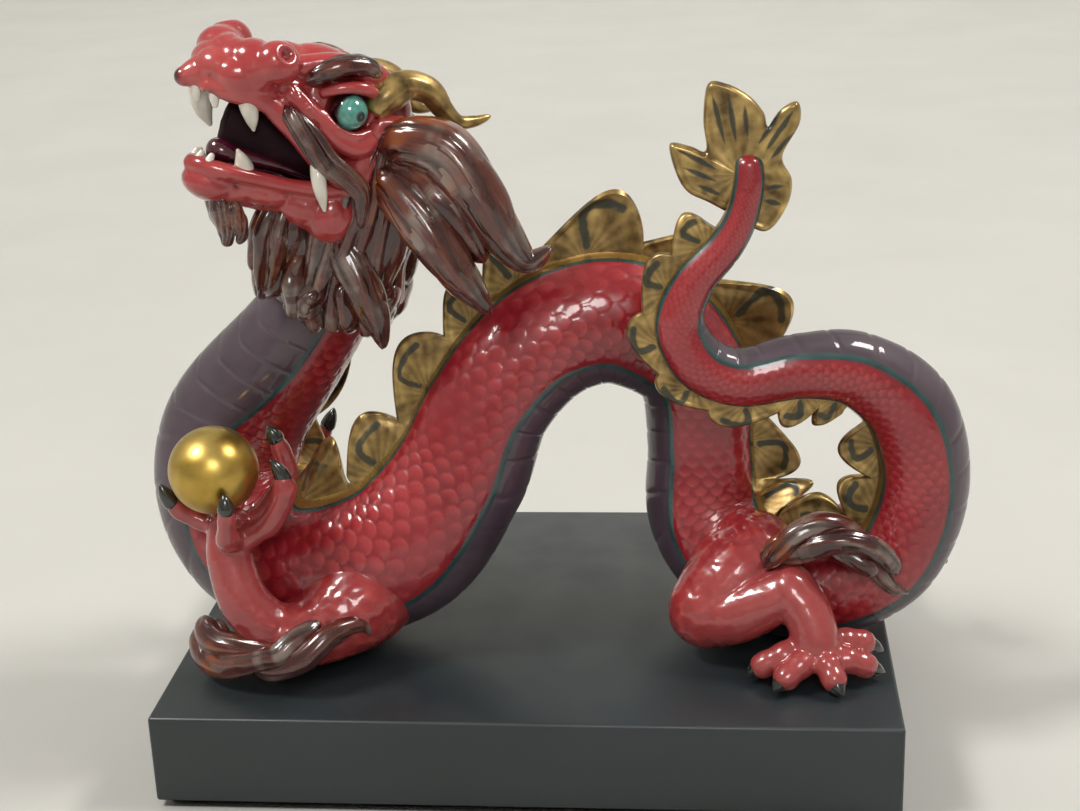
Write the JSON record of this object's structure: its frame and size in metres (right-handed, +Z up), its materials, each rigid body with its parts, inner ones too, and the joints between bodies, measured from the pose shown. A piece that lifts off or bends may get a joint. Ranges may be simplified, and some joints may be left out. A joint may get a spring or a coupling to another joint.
{
  "type": "dragon figurine",
  "caption": "Glazed porcelain dragon with an arched body, gilt crest and a gold ball held in one claw, standing on a black lacquered plinth.",
  "frame": {"origin": "centre of the plinth's underside", "axes": "+Z up, +X along the plinth from the dragon's head end to its tail end, -Y the side on which the ball is held out"},
  "size_m": [0.3841, 0.234, 0.3387],
  "materials": {
    "red_glaze": "deep crimson gloss glaze over modelled scales",
    "gilding": "burnished antique gold with green brush strokes",
    "hair_lustre": "brown metallic lustre glaze with pearly streaks",
    "ivory": "white gloss glaze",
    "plum_glaze": "dark plum gloss glaze",
    "eye_glaze": "turquoise glaze with a dark pupil",
    "ball_gold": "satin gold lustre",
    "black_lacquer": "satin black lacquer",
    "felt": "black felt"
  },
  "bodies": {
    "plinth": {"plinth_block": "black_lacquer", "plinth_felt": "felt"},
    "dragon": {"arch_body": "red_glaze", "arch_crest": "gilding", "arm_far": "red_glaze", "arm_near": "red_glaze", "breast": "red_glaze", "bridge_crest": "gilding", "brow_far": "hair_lustre", "brow_near": "hair_lustre", "canine_far": "ivory", "canine_near": "ivory", "ear_far": "red_glaze", "ear_near": "red_glaze", "elbow_hair_far": "hair_lustre", "elbow_hair_near": "hair_lustre", "eye_far": "eye_glaze", "eye_near": "eye_glaze", "goatee": "hair_lustre", "haunch_body": "red_glaze", "hind_body": "red_glaze", "hind_crest": "gilding", "hock_hair_far": "hair_lustre", "hock_hair_near": "hair_lustre", "horn_far": "gilding", "horn_near": "gilding", "leg_far": "red_glaze", "leg_near": "red_glaze", "loop_body": "red_glaze", "loop_crest": "gilding", "lower_canine_far": "ivory", "lower_canine_near": "ivory", "lower_jaw": "red_glaze", "mane_beard": "hair_lustre", "mane_cheek_far": "hair_lustre", "mane_cheek_near": "hair_lustre", "mane_crown_far": "hair_lustre", "mane_crown_near": "hair_lustre", "mane_ruff": "hair_lustre", "mane_throat_far": "hair_lustre", "mane_throat_near": "hair_lustre", "neck": "red_glaze", "neck_crest": "gilding", "pearl": "ball_gold", "rising_body": "red_glaze", "rising_crest": "gilding", "shoulder_body": "red_glaze", "skull": "red_glaze", "tail_bridge": "red_glaze", "tail_crest": "gilding", "tail_fin": "gilding", "tail_root": "red_glaze", "tail_tip": "red_glaze", "tongue": "plum_glaze", "tusk_far": "ivory", "tusk_near": "ivory", "whisker_far": "hair_lustre", "whisker_near": "hair_lustre"}
  },
  "joints": [
    {"name": "figure_lift", "type": "slide", "parent": "plinth", "child": "dragon", "axis": [0, 0, 1], "range_m": [0, 0.15]}
  ]
}
